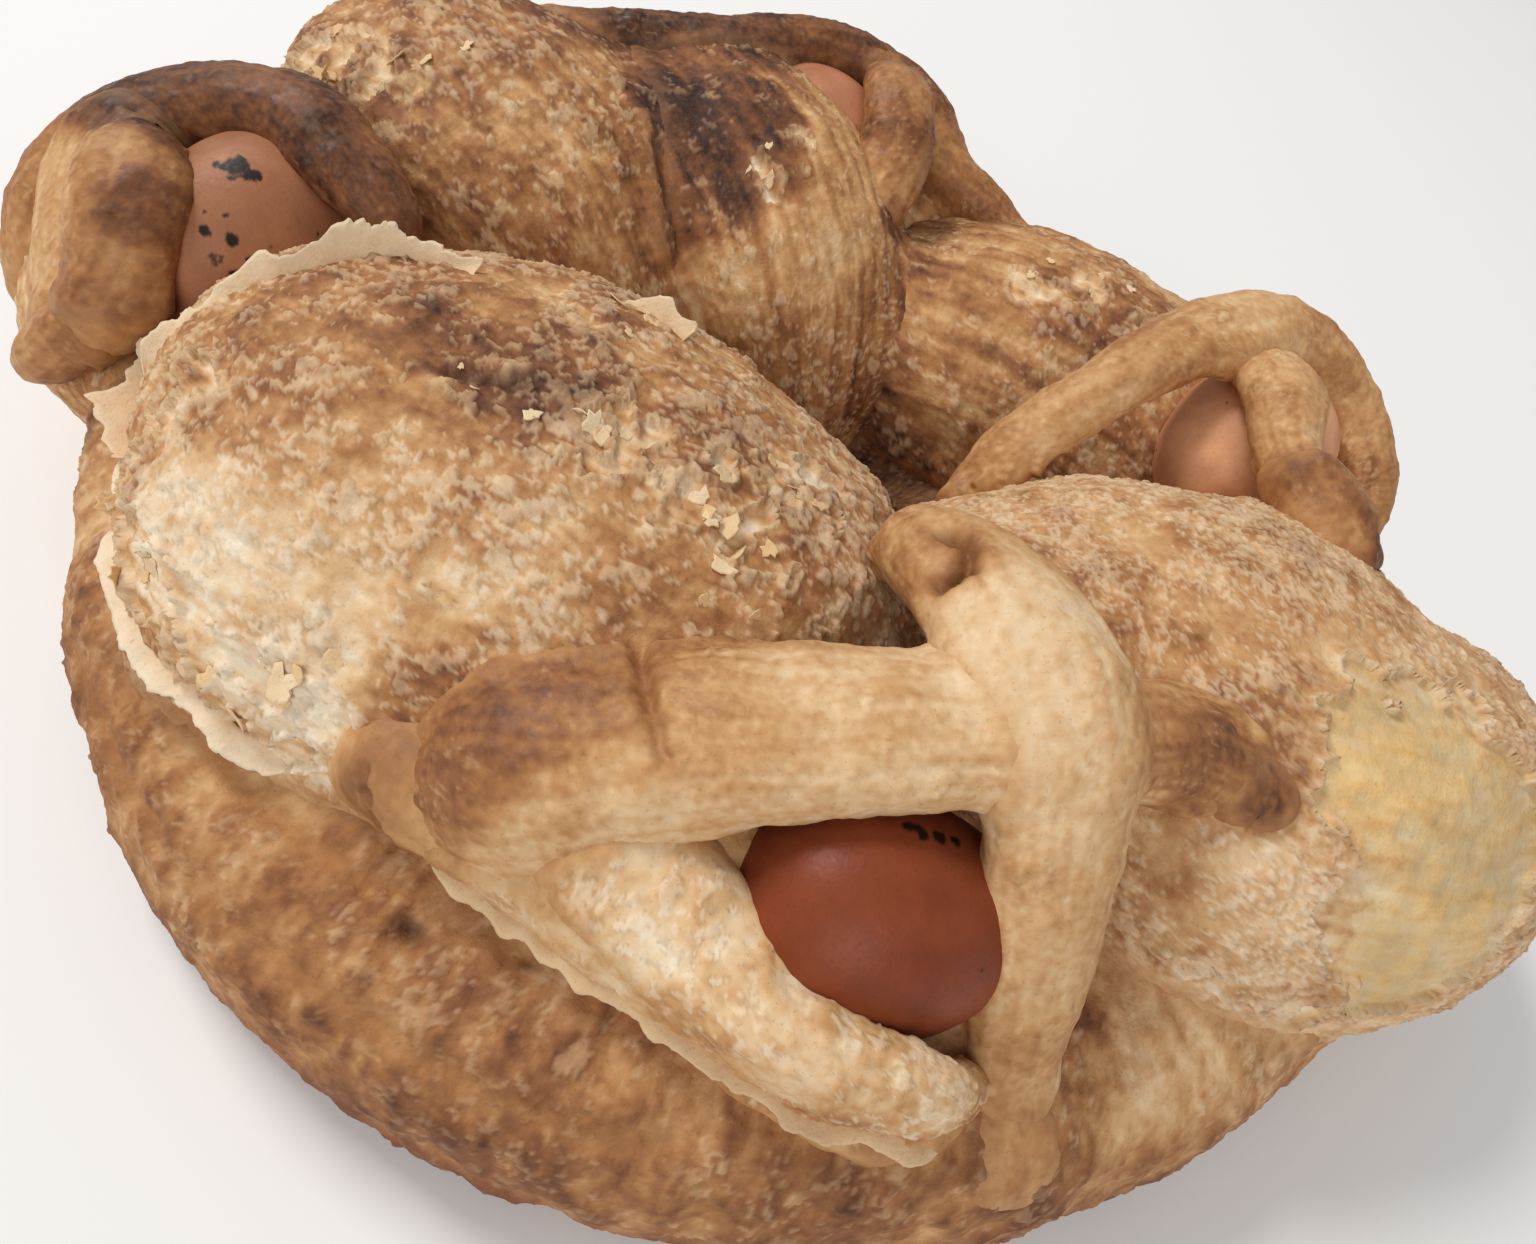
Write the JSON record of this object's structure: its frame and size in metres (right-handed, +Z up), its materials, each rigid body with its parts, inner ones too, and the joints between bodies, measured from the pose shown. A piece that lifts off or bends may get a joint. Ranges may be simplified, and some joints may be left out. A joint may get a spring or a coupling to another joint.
{
  "type": "braided easter bread ring with whole eggs",
  "caption": "Thick flaky dough twist baked as a ring, with whole eggs in their shells sunk in it under crossed strips of dough.",
  "frame": {"origin": "middle of the loaf's footprint box, on the flat underside the loaf rests on", "axes": "+X along the longer width of the ring, +Y from the front egg's side to the back egg's side, +Z up"},
  "size_m": [0.4048, 0.3394, 0.1076],
  "materials": {
    "crust": "matte golden brown baked crust, flaky and floury in places",
    "eggshell_dark": "satin red-brown shell of a baked egg",
    "eggshell": "satin tan shell of a baked egg"
  },
  "bodies": {
    "root": {"loaf": "crust", "egg_front": "eggshell_dark", "egg_right": "eggshell", "egg_back": "eggshell", "egg_left": "eggshell"}
  },
  "joints": []
}
